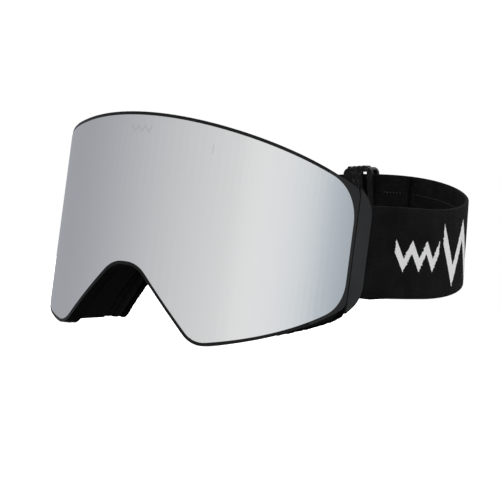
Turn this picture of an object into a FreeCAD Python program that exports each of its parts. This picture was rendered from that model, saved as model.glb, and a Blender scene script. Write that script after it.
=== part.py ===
"""Ski goggles with a magnetic cylindrical mirror lens, pivoting outriggers and an elastic strap.

Frame of the model, in millimetres: +X is the wearer's left, +Y points back to the face, +Z is up.
The origin lies midway between the temples, at half the lens's height, where the face foam
touches the temples.
"""
import FreeCAD
import Part
import math
import os
from FreeCAD import Placement, Rotation, Vector

doc = FreeCAD.newDocument("SkiGoggles")
sheet = doc.addObject("Spreadsheet::Sheet", "Sizes")

SIZES = [
    # lens, measured on its outer face
    ("front_depth", 57.0, "middle of the lens forward of the foam's front at the temples"),
    ("foam_thickness", 15.0, "all three foam layers together"),
    ("lens_front", "=front_depth + foam_thickness", "middle of the lens forward of the temples"),
    ("lens_centre_radius", 134.0, "plan radius of the middle of the lens"),
    ("lens_centre_angle", 22.5, "half angle of the middle arc, degrees"),
    ("lens_side_radius", 59.0, "plan radius of the wrapped sides of the lens"),
    ("lens_half_width", 109.4, "half width of the lens, along its surface"),
    ("lens_top", 48.8, "height of the middle of the brow edge"),
    ("brow_radius", 270.0, "radius of the brow edge, laid flat"),
    ("temple_top_round", 21.0, "upper temple corner of the lens"),
    ("temple_low_round", 17.0, "lower temple corner of the lens"),
    ("cheek_temple_height", -24.6, "height where the cheek edge would meet the temple edge"),
    ("cheek_low_height", -49.6, "height where the cheek edge would meet the nose edge"),
    ("cheek_low_place", 42.3, "distance of that corner from the middle"),
    ("cheek_bulge", 3.6, "rise of the cheek edge outside its chord"),
    ("chin_round", 12.0, "lowest corner of the lens"),
    ("nose_top", -17.8, "height of the nose bridge edge"),
    ("nose_top_place", 8.0, "half width of the nose bridge between its slopes"),
    ("nose_round", 17.0, "round of the nose bridge"),
    ("lens_thickness", 1.6, "outer lens"),
    ("inner_lens_thickness", 0.8, "inner lens"),
    ("spacer_thickness", 1.8, "air gap between the two lenses, and the gasket in it"),
    ("spacer_width", 3.0, "width of the gasket"),
    # lens carrier
    ("rim_lip", 1.5, "rim seen around the lens"),
    ("rim_temple_lip", 1.8, "rim seen along the temple edge"),
    ("rim_corner_round", 4.0, "temple corners of the carrier"),
    ("rim_drop", 0.15, "step from the lens face down to the rim"),
    ("lens_fit", 0.12, "gap between the lens edge and its rebate"),
    ("carrier_thickness", 4.3, "lens face to the back of the carrier"),
    ("carrier_ledge", 7.0, "width of the ledge behind the lens"),
    ("inner_lens_fit", 0.3, "gap between the inner lens and the carrier window"),
    # magnets and locating pegs
    ("magnet_diameter", 4.0, "disc magnets"),
    ("magnet_thickness", 1.6, "disc magnets"),
    ("magnet_inset", 3.2, "magnet centres in from the lens edge"),
    ("magnet_skin", 0.3, "plastic over each magnet"),
    ("peg_diameter", 3.0, "locating pegs on the carrier"),
    ("peg_length", 2.0, "how far the pegs stand out of the carrier's back"),
    ("peg_gap", 0.3, "play of a peg in its hole"),
    ("peg_place", 22.0, "pegs left and right of the middle"),
    # face frame
    ("frame_gap", 0.2, "air between the carrier and the frame"),
    ("flange_thickness", 2.2, "front flange that the carrier sits on"),
    ("frame_wall", 2.0, "shroud wall"),
    ("shroud_set_in", 11.9, "shroud in from the lens's temple edge"),
    ("shroud_half_width", "=lens_half_width - shroud_set_in", "along the lens surface"),
    ("shroud_inset", 0.2, "shroud in from the lens edge at the front"),
    ("shroud_taper", 2.4, "how much the shroud narrows all round towards the face"),
    ("window_inset", 9.0, "clear window in from the lens edge"),
    ("face_radius", 100.0, "plan radius of the face side"),
    ("face_half_width", 76.0, "half distance between the temple contact points"),
    ("face_scale", 0.918, "width along the face arc for each unit along the lens"),
    ("seat_thickness", 2.0, "flange that the foam is glued to"),
    ("foam_base_share", 5.0, "firm layer on the frame"),
    ("foam_mid_share", 6.0, "soft middle layer"),
    ("foam_inset", 0.6, "foam in from the frame's edge"),
    ("foam_width", 10.5, "width of the foam ring"),
    ("foam_play", 0.2, "gap from the foam's edge to the hinge lugs"),
    ("vent_width", 15.0, "vent slots, along the brow"),
    ("vent_pitch", 23.0, "spacing of the vent slots"),
    ("vent_depth", 6.0, "vent slots, front to back"),
    ("vent_foam_thickness", 3.0, "foam behind the vents"),
    # outriggers
    ("seam_gap", 0.6, "gap between the carrier and an outrigger"),
    ("outrigger_reach", 8.6, "outrigger shell, front to back"),
    ("strap_width", 41.7, "elastic webbing"),
    ("outrigger_top", "=strap_width / 2 + 6.75", "height of its front upper corner"),
    ("outrigger_bottom", "=-strap_width / 2 - 7.35", "height of its front lower corner"),
    ("outrigger_back_top", "=strap_width / 2 - 0.35", "height of its rear upper corner"),
    ("outrigger_back_bottom", "=-strap_width / 2 - 0.15", "height of its rear lower corner"),
    ("outrigger_round", 13.0, "rounding of the two rear corners"),
    ("outrigger_shell", 1.3, "thickness of the shell"),
    ("middle_shift", "=lens_centre_radius - lens_side_radius", "between the two arc centres"),
    ("middle_turn", "=lens_centre_angle * (1 - lens_centre_radius / lens_side_radius)",
     "start of the side arc's angles, degrees"),
    ("outrigger_front", "=lens_half_width + rim_temple_lip + seam_gap",
     "front edge of the shell, along the lens surface"),
    ("pin_depth", 4.225, "outrigger pivot, under the lens surface"),
    ("pin_run", 2.542, "outrigger pivot, behind the front edge of the shell"),
    ("pin_turn", "=middle_turn + (outrigger_front + pin_run) / lens_side_radius * 180 / pi",
     "outrigger pivot on the side arc, degrees"),
    ("pin_x", "=middle_shift * sin(lens_centre_angle)"
     " + (lens_side_radius - pin_depth) * sin(pin_turn)", "outrigger pivot, sideways"),
    ("pin_y", "=lens_centre_radius - lens_front - middle_shift * cos(lens_centre_angle)"
     " - (lens_side_radius - pin_depth) * cos(pin_turn)", "outrigger pivot, front to back"),
    ("pin_diameter", 2.2, "steel pivot pin"),
    ("pin_play", 0.05, "radial play of the pin in the frame's lugs"),
    ("knuckle_radius", 2.2, "lugs and knuckles around the pin"),
    ("lug_height", 6.0, "each lug of the frame"),
    ("lug_place", 12.0, "middle of a lug above and below the middle"),
    ("lug_play", 0.3, "gap between lugs and knuckles"),
    ("shelf_thickness", 2.0, "outrigger's top and bottom shelves"),
    ("bar_depth", 5.08, "strap bar, under the lens surface"),
    ("bar_run", 8.678, "strap bar, behind the front edge of the shell"),
    ("bar_turn", "=middle_turn + (outrigger_front + bar_run) / lens_side_radius * 180 / pi",
     "strap bar on the side arc, degrees"),
    ("bar_x", "=middle_shift * sin(lens_centre_angle)"
     " + (lens_side_radius - bar_depth) * sin(bar_turn)", "strap bar, sideways"),
    ("bar_y", "=lens_centre_radius - lens_front - middle_shift * cos(lens_centre_angle)"
     " - (lens_side_radius - bar_depth) * cos(bar_turn)", "strap bar, front to back"),
    ("bar_diameter", 2.5, "strap bar"),
    # strap
    ("strap_thickness", 1.6, "elastic webbing"),
    ("strap_side_play", 0.7, "gap from the strap's edge to a shelf"),
    ("strap_origin_y", "=bar_y - 5.2", "start of the strap's own plane behind the lens"),
    ("strap_lift", 6.0, "tilt of the strap's own plane, degrees"),
    ("strap_back_radius", "=1.06174 * bar_x", "plan radius round the back of the head"),
    ("strap_back_centre", "=0.64165 * bar_x", "centre of that arc from the strap's start"),
    ("strap_side_radius", "=1.64165 * bar_x", "plan radius along the side of the head"),
    ("strap_join_angle", 19.65, "where the side arc meets the back arc, degrees"),
    ("strap_droop", 2.0, "fall of the strap's edge at the side, degrees"),
    ("strap_level_run", 45.0, "straight part of the strap's edge"),
    ("strap_rise_radius", 300.0, "radius of the edge's rise towards the back"),
    ("pivot_clearance", 10.0, "radius around the pin that the outrigger's strap end keeps inside"),
    ("strap_tuck", 0.6, "how far the webbing is drawn in behind the outrigger's shell"),
    ("strap_end_gap", 0.35, "gap between the strap and the strap end that turns with the outrigger"),
    ("tail_start", -7.0, "strap tail's free end, degrees past the middle of the back"),
    ("tail_gap", 0.15, "gap between the strap and its doubled tail"),
    # slider
    ("slider_angle", 12.8, "middle of the slider, degrees past the middle of the back"),
    ("slider_length", 18.0, "slider along the strap"),
    ("slider_frame", 3.5, "slider above and below the webbing"),
    ("slider_round", 3.5, "rounded corners of the slider"),
    ("slider_tilt", 3.0, "slider turned past the slope of the strap, degrees"),
    ("slider_height", "=strap_width + 2 * slider_frame", "slider across the strap"),
    ("slider_plate", 1.8, "inner plate and outer bars"),
    ("slider_bar", 4.2, "width of the outer bars"),
    ("slider_slot", 3.0, "width of the slot in the inner plate"),
    ("slider_play", 0.5, "gap between the webbing and the slider"),
    ("slider_edge_play", 1.9, "gap above and below the webbing"),
    ("rib_radius", 0.9, "thumb ribs on the slider's top edge"),
    ("rib_count", 4.0, "thumb ribs"),
    ("rib_pitch", 3.0, "spacing of the thumb ribs"),
]

for row, (alias, size, note) in enumerate(SIZES, start=1):
    sheet.set("A%d" % row, alias)
    sheet.set("B%d" % row, str(size))
    sheet.set("C%d" % row, note)
    sheet.setAlias("B%d" % row, alias)
doc.recompute()


class Size:
    """Reads a size from the sheet by its alias."""

    def __getattr__(self, alias):
        return float(sheet.get(alias))


size = Size()
TALL = 150.0
SURFACE_STEP = 4.0


def feature(label, shape):
    """Puts a finished shape in the document under its node name."""
    item = doc.addObject("Part::Feature", label)
    item.Label = label
    item.Shape = shape
    return item


# ---- surfaces ---------------------------------------------------------------------------------

def lens_point(along, height, depth):
    """Point on the lens surface offset inwards by depth: along runs from the middle to the side."""
    bend = math.radians(size.lens_centre_angle)
    centre_run = size.lens_centre_radius * bend
    centre_y = size.lens_centre_radius - size.lens_front
    reach = abs(along)
    if reach <= centre_run:
        turn = reach / size.lens_centre_radius
        x = (size.lens_centre_radius - depth) * math.sin(turn)
        y = centre_y - (size.lens_centre_radius - depth) * math.cos(turn)
    else:
        turn = bend + (reach - centre_run) / size.lens_side_radius
        shift = size.lens_centre_radius - size.lens_side_radius
        x = shift * math.sin(bend) + (size.lens_side_radius - depth) * math.sin(turn)
        y = centre_y - shift * math.cos(bend) - (size.lens_side_radius - depth) * math.cos(turn)
    return Vector(math.copysign(x, along), y, height)


def lens_normal(along):
    """Unit vector out of the lens."""
    return (lens_point(along, 0, 0) - lens_point(along, 0, 1)).normalize()


def face_point(along, height, forward):
    """Point on the face surface moved forward: along is measured on the lens."""
    centre_y = math.sqrt(size.face_radius ** 2 - size.face_half_width ** 2)
    turn = along * size.face_scale / size.face_radius
    x = size.face_radius * math.sin(turn)
    return Vector(x, centre_y - forward - size.face_radius * math.cos(turn), height)


def arc_through(points):
    return Part.Arc(*points).toShape()


def extruded(edges, run):
    """Solid swept from a flat closed outline, always with its faces outwards."""
    solid = Part.Face(Part.Wire(Part.__sortEdges__(edges))).extrude(run)
    if solid.Volume < 0:
        solid.reverse()
    return solid


def lens_arcs(depth, reach):
    """Plan curve of the lens offset, from -reach to +reach, as three tangent arcs."""
    join = size.lens_centre_radius * math.radians(size.lens_centre_angle)
    stops = [-reach, -join, join, reach]
    arcs = []
    for start, end in zip(stops, stops[1:]):
        places = (start, (start + end) / 2, end)
        arcs.append(arc_through([lens_point(place, -TALL / 2, depth) for place in places]))
    return arcs


def face_arc(forward, reach):
    return [arc_through([face_point(place, -TALL / 2, forward) for place in (-reach, 0, reach)])]


def slab_between(front, back):
    """Upright slab between two plan curves, each a list of edges from left to right."""
    ends = []
    for pick in (0, -1):
        start = front[pick].Vertexes[pick].Point
        finish = back[pick].Vertexes[pick].Point
        ends.append(Part.LineSegment(start, finish).toShape())
    return extruded(front + back + ends, Vector(0, 0, TALL))


def lens_slab(outer, inner, reach=None):
    reach = reach or size.lens_half_width + 8.0
    return slab_between(lens_arcs(outer, reach), lens_arcs(inner, reach))


# ---- outlines, laid flat ----------------------------------------------------------------------

def rounded_outline(edges, corners):
    """Closed flat outline with each (corner point, radius) rounded."""
    prism = Part.Face(Part.Wire(Part.__sortEdges__(edges))).extrude(Vector(0, 0, 1))
    for corner, radius in corners:
        for edge in prism.Edges:
            ends = [vertex.Point for vertex in edge.Vertexes]
            flat = [Vector(point.x, point.y, 0) for point in ends]
            if len(ends) == 2 and abs(ends[0].z - ends[1].z) > 0.5:
                if (flat[0] - corner).Length < 0.01:
                    prism = prism.makeFillet(radius, [edge])
                    break
    for side in prism.Faces:
        if side.normalAt(0, 0).z < -0.9:
            return side.OuterWire
    raise RuntimeError("outline lost its base")


def goggle_outline(half_width, corner_round=None, margin=0.0):
    """Outline of the lens laid flat, to a temple edge at half_width, grown by margin."""
    brow_centre = Vector(0, size.lens_top - size.brow_radius, 0)
    drop = math.sqrt(size.brow_radius ** 2 - half_width ** 2)
    brow_end = Vector(half_width, brow_centre.y + drop, 0)
    low = Vector(size.cheek_low_place, size.cheek_low_height, 0)
    temple = Vector(size.lens_half_width, size.cheek_temple_height, 0)
    chord = temple - low
    lift = Vector(chord.y, -chord.x, 0).normalize() * size.cheek_bulge
    cheek_curve = Part.Arc(low, (low + temple) * 0.5 + lift, temple).toShape().Curve
    cheek_centre = cheek_curve.Center
    fall = math.sqrt(cheek_curve.Radius ** 2 - (half_width - cheek_centre.x) ** 2)
    cheek_end = Vector(half_width, cheek_centre.y - fall, 0)
    away = (low + cheek_end) * 0.5 - cheek_centre
    cheek_mid = cheek_centre + away.normalize() * cheek_curve.Radius
    bridge = Vector(size.nose_top_place, size.nose_top, 0)
    half = [
        Part.Arc(cheek_end, cheek_mid, low).toShape(),
        Part.LineSegment(brow_end, cheek_end).toShape(),
        Part.LineSegment(low, bridge).toShape(),
    ]
    mirrored = [edge.mirror(Vector(), Vector(1, 0, 0)) for edge in half]
    brow = Part.Arc(Vector(-brow_end.x, brow_end.y, 0), Vector(0, size.lens_top, 0), brow_end)
    middle = [
        brow.toShape(),
        Part.LineSegment(bridge, Vector(-bridge.x, bridge.y, 0)).toShape(),
    ]
    corners = []
    for point, radius in (
        (brow_end, corner_round or size.temple_top_round),
        (cheek_end, corner_round or size.temple_low_round),
        (low, size.chin_round),
        (bridge, size.nose_round),
    ):
        corners.append((point, radius))
        corners.append((Vector(-point.x, point.y, 0), radius))
    outline = rounded_outline(half + mirrored + middle, corners)
    if abs(margin) > 0:
        outline = outline.makeOffset2D(margin)
    return outline


def wrapped(edge, place_point):
    """Curve through the points of a flat edge after place_point has put them in space."""
    count = max(2, int(math.ceil(edge.Length / SURFACE_STEP)) + 1)
    flat = edge.discretize(count)
    if max(p.x for p in flat) - min(p.x for p in flat) < 0.01:
        flat = [flat[0], flat[-1]]
    points = [place_point(p) for p in flat]
    if len(points) == 2:
        return Part.LineSegment(*points).toShape()
    curve = Part.BSplineCurve()
    curve.interpolate(points)
    return curve.toShape()


def wall_shell(outline, front, back, overshoot):
    """Ruled wall through an outline, from one surface to another and past both."""
    faces = []
    for edge in outline.Edges:
        def first(p):
            return front(p) + (front(p) - back(p)) * overshoot

        def last(p):
            return back(p) + (back(p) - front(p)) * overshoot

        faces.append(Part.makeRuledSurface(wrapped(edge, first), wrapped(edge, last)))
    return Part.makeShell(faces)


def trimmed(slab, shell, inside):
    """The piece of a slab that a closed wall keeps, found by a point inside it."""
    pieces, _ = slab.generalFuse([shell])
    for solid in pieces.Solids:
        if solid.isInside(inside, 0.001, True):
            return solid
    raise RuntimeError("no piece holds the point %s" % inside)


def lens_piece(outline, outer, inner):
    """Solid between two depths under the lens surface, cut square through an outline."""
    shell = wall_shell(
        outline,
        lambda p: lens_point(p.x, p.y, outer - 0.5),
        lambda p: lens_point(p.x, p.y, inner + 0.5),
        0.2,
    )
    return trimmed(lens_slab(outer, inner), shell, lens_point(0, 10, (outer + inner) / 2))


def face_piece(outline, forward, backward):
    """Solid between two planes of the face surface, cut parallel to Y through an outline."""
    shell = wall_shell(
        outline,
        lambda p: face_point(p.x, p.y, forward + 0.5),
        lambda p: face_point(p.x, p.y, backward - 0.5),
        0.2,
    )
    reach = 108.0
    slab = slab_between(face_arc(forward, reach), face_arc(backward, reach))
    return trimmed(slab, shell, face_point(0, 10, (forward + backward) / 2))


# ---- lens assembly ----------------------------------------------------------------------------

lens_outline = goggle_outline(size.lens_half_width)
rim_outline = goggle_outline(
    size.lens_half_width + size.rim_temple_lip - size.rim_lip,
    size.rim_corner_round,
    size.rim_lip,
)
carrier_window = lens_outline.makeOffset2D(-size.carrier_ledge)
inner_outline = lens_outline.makeOffset2D(-size.carrier_ledge - size.inner_lens_fit)
gasket_hole = inner_outline.makeOffset2D(-size.spacer_width)
gasket_back = size.lens_thickness + size.spacer_thickness

outer_lens = feature("outer_lens", lens_piece(lens_outline, 0, size.lens_thickness))
inner_lens = feature(
    "inner_lens",
    lens_piece(inner_outline, gasket_back, gasket_back + size.inner_lens_thickness),
)
spacer = lens_piece(inner_outline, size.lens_thickness, gasket_back)
spacer = spacer.cut(lens_piece(gasket_hole, size.lens_thickness - 1, gasket_back + 1))
lens_spacer = feature("lens_spacer_gasket", spacer)


def magnet_places():
    """Flat places of the magnets: in the ledge, all round the lens."""
    path = lens_outline.makeOffset2D(-size.magnet_inset)
    wanted = [
        Vector(46, 60, 0), Vector(84, 50, 0), Vector(size.lens_half_width + 5, 2, 0),
        Vector(84, -50, 0), Vector(46, -60, 0), Vector(14, -28, 0),
    ]
    places = []
    for target in wanted:
        near = path.distToShape(Part.Vertex(target))[1][0][0]
        places.append(near)
        places.append(Vector(-near.x, near.y, 0))
    return places


def magnet_discs(name, front, grow=0.0):
    """Disc magnets with their front faces at a depth under the lens."""
    discs = []
    for number, place in enumerate(magnet_places(), start=1):
        disc = doc.addObject("Part::Cylinder", "%s_%d" % (name, number))
        disc.setExpression("Radius", "Sizes.magnet_diameter / 2 + %s" % grow)
        disc.setExpression("Height", "Sizes.magnet_thickness + %s" % (2 * grow))
        turn = Rotation(Vector(0, 0, 1), lens_normal(place.x) * -1)
        disc.Placement = Placement(lens_point(place.x, place.y, front - grow), turn)
        discs.append(disc)
    doc.recompute()
    return discs


def group(label, members):
    """Like pieces kept as one node."""
    item = doc.addObject("Part::Compound", label)
    item.Label = label
    item.Links = members
    doc.recompute()
    return item


MAGNET_SLACK = 0.05
carrier_magnet_front = size.carrier_thickness - size.magnet_skin - size.magnet_thickness
flange_front = size.carrier_thickness + size.frame_gap
frame_magnet_front = flange_front + size.magnet_skin

lens_magnets = group("lens_magnets", magnet_discs("lens_magnet", carrier_magnet_front))
frame_magnets = group("frame_magnets", magnet_discs("frame_magnet", frame_magnet_front))
carrier_pockets = magnet_discs("carrier_pocket", carrier_magnet_front, MAGNET_SLACK)
frame_pockets = magnet_discs("frame_pocket", frame_magnet_front, MAGNET_SLACK)


def pegs(radius, length):
    """Round pegs pointing straight back from the brow of the carrier."""
    shapes = []
    for side in (-1, 1):
        x = side * size.peg_place
        height = size.lens_top - x * x / (2 * size.brow_radius) - size.magnet_inset
        base = lens_point(x, height, size.carrier_thickness - 1.0)
        shapes.append(Part.makeCylinder(radius, length + 1.0, base, Vector(0, 1, 0)))
    return shapes


carrier = lens_piece(rim_outline, size.rim_drop, size.carrier_thickness)
rebate = lens_outline.makeOffset2D(size.lens_fit)
carrier = carrier.cut(lens_piece(rebate, -1, size.lens_thickness))
carrier = carrier.cut(lens_piece(carrier_window, -1, size.carrier_thickness + 1))
carrier = carrier.cut([pocket.Shape for pocket in carrier_pockets])
carrier = carrier.fuse(pegs(size.peg_diameter / 2, size.peg_length))
lens_carrier = feature("lens_carrier", carrier.removeSplitter())

# ---- face frame -------------------------------------------------------------------------------

shroud_front = goggle_outline(size.shroud_half_width, size.temple_low_round, -size.shroud_inset)
shroud_back = shroud_front.makeOffset2D(-size.shroud_taper)
frame_back = size.foam_thickness


def shroud(front_outline, back_outline, depth, forward):
    """Tapering solid from the lens side to the face side."""
    pairs = list(zip(front_outline.Edges, back_outline.Edges))
    faces = []
    for front_edge, back_edge in pairs:
        count = max(2, int(math.ceil(front_edge.Length / SURFACE_STEP)) + 1)
        fronts = [lens_point(p.x, p.y, depth) for p in front_edge.discretize(count)]
        backs = [face_point(p.x, p.y, forward) for p in back_edge.discretize(count)]
        first = []
        last = []
        for a, b in zip(fronts, backs):
            step = (b - a).normalize() * 3.0
            first.append(a - step)
            last.append(b + step)
        curves = []
        for points in (first, last):
            curve = Part.BSplineCurve()
            curve.interpolate(points)
            curves.append(curve.toShape())
        faces.append(Part.makeRuledSurface(*curves))
    shell = Part.makeShell(faces)
    reach = size.lens_half_width + 2.0
    slab = slab_between(lens_arcs(depth, reach), face_arc(forward, reach))
    middle = (lens_point(0, 10, depth) + face_point(0, 10, forward)) * 0.5
    return trimmed(slab, shell, middle)


cavity_front = shroud_front.makeOffset2D(-size.frame_wall)
cavity_back = shroud_back.makeOffset2D(-size.frame_wall)
window_front = shroud_front.makeOffset2D(-size.window_inset)
window_back = shroud_back.makeOffset2D(-size.window_inset)
flange_back = flange_front + size.flange_thickness
seat_front = frame_back + size.seat_thickness

flange = lens_piece(rim_outline.makeOffset2D(-0.3), flange_front, flange_back)
frame = flange.fuse(shroud(shroud_front, shroud_back, flange_front, frame_back))
frame = frame.cut(shroud(cavity_front, cavity_back, flange_back, seat_front))
frame = frame.cut(shroud(window_front, window_back, flange_front - 2, frame_back - 2))


def vent_boxes(count, z_low, z_high, centre=0.0):
    """Cutters for a row of vent slots through the shroud wall."""
    cutters = []
    for number in range(count):
        x = centre + (number - (count - 1) / 2) * size.vent_pitch
        front = lens_point(x, 0, flange_back).y
        back = face_point(x / size.face_scale, 0, seat_front).y
        middle = (front + back) / 2
        base = Vector(x - size.vent_width / 2, middle - size.vent_depth / 2, z_low)
        box = Part.makeBox(size.vent_width, size.vent_depth, z_high - z_low, base)
        upright = [edge for edge in box.Edges if edge.Length == z_high - z_low]
        cutters.append(box.makeFillet(size.vent_depth * 0.4, upright))
    return cutters


VENT_ROW_TOP = 5
VENT_ROW_CHEEK = 1
cheek_vents = size.cheek_low_place + 0.85 * size.vent_pitch
VENT_CLEAR = 11.0
brow_vents = size.lens_top / 2
cheek_vent_height = size.cheek_low_height / 2
cheek_vent_low = size.cheek_low_height - VENT_CLEAR
frame = frame.cut(vent_boxes(VENT_ROW_TOP, brow_vents, size.lens_top + VENT_CLEAR))
for place in (cheek_vents, -cheek_vents):
    frame = frame.cut(vent_boxes(VENT_ROW_CHEEK, cheek_vent_low, cheek_vent_height, place))
frame = frame.cut([pocket.Shape for pocket in frame_pockets])
frame = frame.cut(pegs(size.peg_diameter / 2 + size.peg_gap, size.peg_length + 2))


def lugs(side):
    """Two lugs with bores that carry an outrigger's pin, rooted in the shroud wall."""
    wall = face_point(size.shroud_half_width - size.shroud_taper, 0, seat_front)
    root = wall.x - size.frame_wall / 2
    shapes = []
    for middle in (-size.lug_place, size.lug_place):
        low = middle - size.lug_height / 2
        base = Vector(root, size.pin_y - size.knuckle_radius, low)
        arm = Part.makeBox(size.pin_x - root, 2 * size.knuckle_radius, size.lug_height, base)
        centre = Vector(size.pin_x, size.pin_y, low)
        eye = Part.makeCylinder(size.knuckle_radius, size.lug_height, centre)
        bore = Part.makeCylinder(size.pin_diameter / 2 + size.pin_play, size.lug_height, centre)
        shapes.append(arm.fuse(eye).cut(bore))
    if side < 0:
        shapes = [shape.mirror(Vector(), Vector(1, 0, 0)) for shape in shapes]
    return shapes


foam_outer = shroud_back.makeOffset2D(-size.foam_inset)
foam_room = face_piece(foam_outer.makeOffset2D(size.foam_play), frame_back, 0)
frame = frame.fuse([lug.cut(foam_room) for lug in lugs(1) + lugs(-1)])
face_frame = feature("face_frame", frame.removeSplitter())

# ---- foams ------------------------------------------------------------------------------------

foam_inner = foam_outer.makeOffset2D(-size.foam_width)


def foam_ring(label, forward, backward):
    ring = face_piece(foam_outer, forward, backward)
    ring = ring.cut(face_piece(foam_inner, forward + 1, backward - 1))
    return feature(label, ring)


FOAM_GLUE = 0.02
base_back = frame_back - size.foam_base_share
mid_back = base_back - size.foam_mid_share
foam_base = foam_ring("foam_base", frame_back - FOAM_GLUE, base_back + FOAM_GLUE)
foam_mid = foam_ring("foam_mid", base_back, mid_back + FOAM_GLUE)
foam_fleece = foam_ring("foam_fleece", mid_back, 0)


def vent_foam(label, z_low, z_high):
    """Foam strip against the inside of the shroud, behind the vents."""
    gap = 0.1
    outer_front = cavity_front.makeOffset2D(-gap)
    outer_back = cavity_back.makeOffset2D(-gap)
    inner_front = outer_front.makeOffset2D(-size.vent_foam_thickness)
    inner_back = outer_back.makeOffset2D(-size.vent_foam_thickness)
    solid = shroud(outer_front, outer_back, flange_back + gap, seat_front + gap)
    solid = solid.cut(shroud(inner_front, inner_back, flange_back - 1, seat_front - 1))
    keep = Part.makeBox(130, 200, z_high - z_low, Vector(-65, -150, z_low))
    return feature(label, solid.common(keep))


VENT_FOAM_RISE = 19.0
VENT_FOAM_FALL = 15.6
vent_foam_top = vent_foam("vent_foam_top", size.lens_top - VENT_FOAM_RISE, TALL / 2)
vent_foam_cheeks = vent_foam(
    "vent_foam_cheeks", -TALL / 2, size.cheek_low_height + VENT_FOAM_FALL
)

# ---- outriggers -------------------------------------------------------------------------------

shelf_inner = size.strap_width / 2 + size.strap_side_play
pin_half = shelf_inner + size.shelf_thickness


def outrigger_shape():
    """Left outrigger: D-shaped shell, two shelves, middle knuckle and strap bar."""
    front = size.outrigger_front
    back = front + size.outrigger_reach
    corners = [
        Vector(front, size.outrigger_top, 0),
        Vector(back, size.outrigger_back_top, 0),
        Vector(back, size.outrigger_back_bottom, 0),
        Vector(front, size.outrigger_bottom, 0),
    ]
    edges = []
    for start, end in zip(corners, corners[1:] + corners[:1]):
        edges.append(Part.LineSegment(start, end).toShape())
    rounds = [(corners[1], size.outrigger_round), (corners[2], size.outrigger_round)]
    outline = rounded_outline(edges, rounds)
    shell = wall_shell(
        outline,
        lambda p: lens_point(p.x, p.y, size.rim_drop - 0.5),
        lambda p: lens_point(p.x, p.y, size.outrigger_shell + 0.5),
        0.2,
    )
    slab = lens_slab(size.rim_drop, size.outrigger_shell, back + 6)
    inside = lens_point((front + back) / 2, 0, (size.rim_drop + size.outrigger_shell) / 2)
    panel = trimmed(slab, shell, inside)

    pin = Vector(size.pin_x, size.pin_y, 0)
    bar = Vector(size.bar_x, size.bar_y, 0)
    reach_low = lens_point(front + 0.5, 0, size.outrigger_shell / 2)
    reach_high = lens_point(back - 3.4, 0, size.outrigger_shell / 2)
    plan = Part.makePolygon([
        pin + Vector(-1.2, -size.knuckle_radius * 0.8, 0),
        reach_low,
        lens_point((front + back) / 2, 0, size.outrigger_shell / 2),
        reach_high,
        bar + Vector(0.5, size.bar_diameter / 2, 0),
        bar + Vector(-size.bar_diameter / 2, 0.3, 0),
        pin + Vector(-1.8, -1.0, 0),
        pin + Vector(-1.2, -size.knuckle_radius * 0.8, 0),
    ])
    shelves = []
    for low in (shelf_inner, -pin_half):
        shelf = Part.Face(plan).extrude(Vector(0, 0, size.shelf_thickness))
        shelves.append(shelf.translated(Vector(0, 0, low)))
    knuckle_half = size.lug_place - size.lug_height / 2 - size.lug_play
    low = pin - Vector(0, 0, knuckle_half)
    knuckle = Part.makeCylinder(size.knuckle_radius, 2 * knuckle_half, low)
    web = Part.makeBox(3.0, 1.6, 2 * knuckle_half, low + Vector(1.0, -0.8, 0))
    rod = Part.makeCylinder(
        size.bar_diameter / 2, 2 * shelf_inner + 1, bar - Vector(0, 0, shelf_inner + 0.5)
    )
    body = panel.fuse(shelves + [knuckle, web, rod])
    bore = Part.makeCylinder(size.pin_diameter / 2, 2 * pin_half, pin - Vector(0, 0, pin_half))
    return body.cut(bore).removeSplitter()


left_shape = outrigger_shape()
outrigger_left = feature("outrigger_left", left_shape)
outrigger_right = feature("outrigger_right", left_shape.mirror(Vector(), Vector(1, 0, 0)))


def pivot_pin(label, side):
    """Steel pin that an outrigger turns on."""
    pin = doc.addObject("Part::Cylinder", label)
    pin.Label = label
    pin.setExpression("Radius", "Sizes.pin_diameter / 2")
    length = "Sizes.strap_width + 2 * Sizes.strap_side_play + 2 * Sizes.shelf_thickness"
    pin.setExpression("Height", length)
    pin.setExpression("Placement.Base.x", "%d * Sizes.pin_x" % side)
    pin.setExpression("Placement.Base.y", "Sizes.pin_y")
    pin.setExpression("Placement.Base.z", "-(%s) / 2" % length)
    return pin


outrigger_pin_left = pivot_pin("outrigger_pin_left", 1)
outrigger_pin_right = pivot_pin("outrigger_pin_right", -1)

# ---- strap ------------------------------------------------------------------------------------

STRAP_PLACE = Placement(
    Vector(0, size.strap_origin_y, 0), Rotation(Vector(1, 0, 0), size.strap_lift)
)


def strap_point(angle, offset):
    """Plan point of the strap: angle is 0 at the middle of the back and grows to the left side.

    Past the join the side arc carries on. Offset is outwards, across the webbing.
    """
    join = 90.0 - size.strap_join_angle
    turn = math.radians(90.0 - abs(angle))
    centre = Vector(0, size.strap_back_centre, 0)
    radius = size.strap_back_radius
    if abs(angle) > join:
        limit = math.radians(size.strap_join_angle)
        back = size.strap_back_radius - size.strap_side_radius
        centre = centre + Vector(math.cos(limit), math.sin(limit), 0) * back
        radius = size.strap_side_radius
    point = centre + Vector(math.cos(turn), math.sin(turn), 0) * (radius + offset)
    if angle < 0:
        point.x = -point.x
    return point


def strap_arcs(start, end, offset):
    """Plan curve of the webbing between two angles."""
    join = 90.0 - size.strap_join_angle
    stops = [start]
    for stop in (-join, join):
        if start < stop < end:
            stops.append(stop)
    stops.append(end)
    arcs = []
    for low, high in zip(stops, stops[1:]):
        nudge = 1e-9
        ends = (low + nudge, (low + high) / 2, high - nudge)
        arcs.append(arc_through([strap_point(angle, offset) for angle in ends]))
    return arcs


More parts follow.
